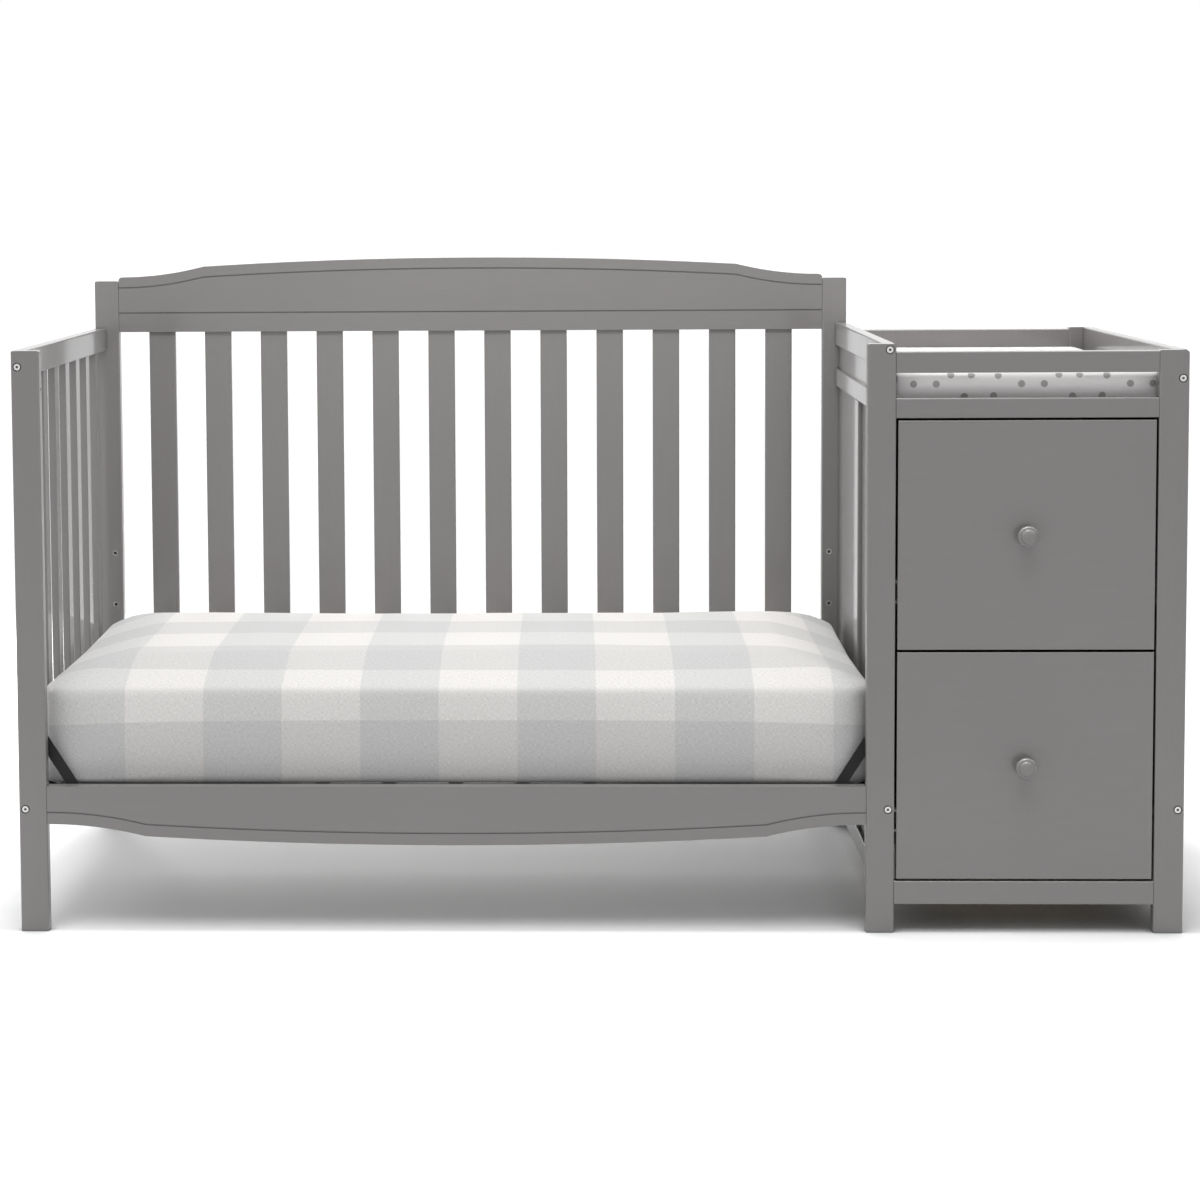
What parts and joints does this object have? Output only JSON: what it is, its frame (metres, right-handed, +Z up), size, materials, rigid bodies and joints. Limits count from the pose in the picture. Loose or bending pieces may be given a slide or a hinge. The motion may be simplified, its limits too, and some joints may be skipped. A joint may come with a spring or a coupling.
{
  "type": "crib with attached changer",
  "caption": "Grey wooden crib in daybed form with an arched slatted headboard, a low front rail, a checked mattress and a drawer changer with a padded top.",
  "frame": {"origin": "centre of the overall footprint, knobs included, on the floor", "axes": "+X to the viewer's right along the crib, +Y from the front to the headboard, +Z up"},
  "size_m": [1.818, 0.782, 1.042],
  "materials": {
    "grey_paint": "satin grey paint",
    "drawer_plywood": "clear-lacquered birch plywood",
    "batten_wood": "bare pine",
    "hardboard": "grey-faced hardboard",
    "black_steel": "black powder coat",
    "zinc_steel": "zinc plated",
    "bright_bolts": "nickel plated",
    "check_sheet": "woven cotton in a grey and cream check",
    "dotted_cover": "cotton cover with grey dots"
  },
  "bodies": {
    "frame": {"left_front_post": "grey_paint", "left_back_post": "grey_paint", "centre_front_post": "grey_paint", "centre_back_post": "grey_paint", "changer_front_post": "grey_paint", "changer_back_post": "grey_paint", "left_end_top_rail": "grey_paint", "left_end_low_rail": "grey_paint", "left_end_slats": "grey_paint", "headboard_rail": "grey_paint", "back_bottom_rail": "grey_paint", "back_slat_01": "grey_paint", "back_slat_02": "grey_paint", "back_slat_03": "grey_paint", "back_slat_04": "grey_paint", "back_slat_05": "grey_paint", "back_slat_06": "grey_paint", "back_slat_07": "grey_paint", "back_slat_08": "grey_paint", "back_slat_09": "grey_paint", "back_slat_10": "grey_paint", "back_slat_11": "grey_paint", "back_slat_12": "grey_paint", "front_rail": "grey_paint", "divider_top_rail": "grey_paint", "divider_cross_rails": "grey_paint", "divider_panels": "grey_paint", "end_muntins": "grey_paint", "outer_end_top_rail": "grey_paint", "outer_end_cross_rails": "grey_paint", "outer_end_panels": "grey_paint", "changer_top_rail": "grey_paint", "changer_middle_rail": "grey_paint", "changer_bottom_rail": "grey_paint", "changer_back_rails": "grey_paint", "changer_back_board": "hardboard", "changer_shelf": "grey_paint", "runner_battens": "batten_wood", "cabinet_runners": "zinc_steel", "mattress_deck": "black_steel", "deck_hangers": "black_steel", "frame_bolts": "bright_bolts", "barrel_nuts": "zinc_steel", "threaded_inserts": "zinc_steel"},
    "upper_drawer": {"upper_drawer_front": "grey_paint", "upper_drawer_sides": "drawer_plywood", "upper_drawer_back": "drawer_plywood", "upper_drawer_bottom": "drawer_plywood", "upper_drawer_runners": "zinc_steel", "upper_drawer_knob": "grey_paint", "upper_knob_screw": "zinc_steel"},
    "lower_drawer": {"lower_drawer_front": "grey_paint", "lower_drawer_sides": "drawer_plywood", "lower_drawer_back": "drawer_plywood", "lower_drawer_bottom": "drawer_plywood", "lower_drawer_runners": "zinc_steel", "lower_drawer_knob": "grey_paint", "lower_knob_screw": "zinc_steel"},
    "mattress": {"mattress": "check_sheet"},
    "changing_pad": {"changing_pad": "dotted_cover"}
  },
  "joints": [
    {"name": "upper_drawer_slide", "type": "slide", "parent": "frame", "child": "upper_drawer", "axis": [0, -1, 0], "range_m": [0, 0.34]},
    {"name": "lower_drawer_slide", "type": "slide", "parent": "frame", "child": "lower_drawer", "axis": [0, -1, 0], "range_m": [0, 0.34]},
    {"name": "mattress_lift", "type": "slide", "parent": "frame", "child": "mattress", "axis": [0, 0, 1], "range_m": [0, 0.25]},
    {"name": "changing_pad_lift", "type": "slide", "parent": "frame", "child": "changing_pad", "axis": [0, 0, 1], "range_m": [0, 0.12]}
  ]
}
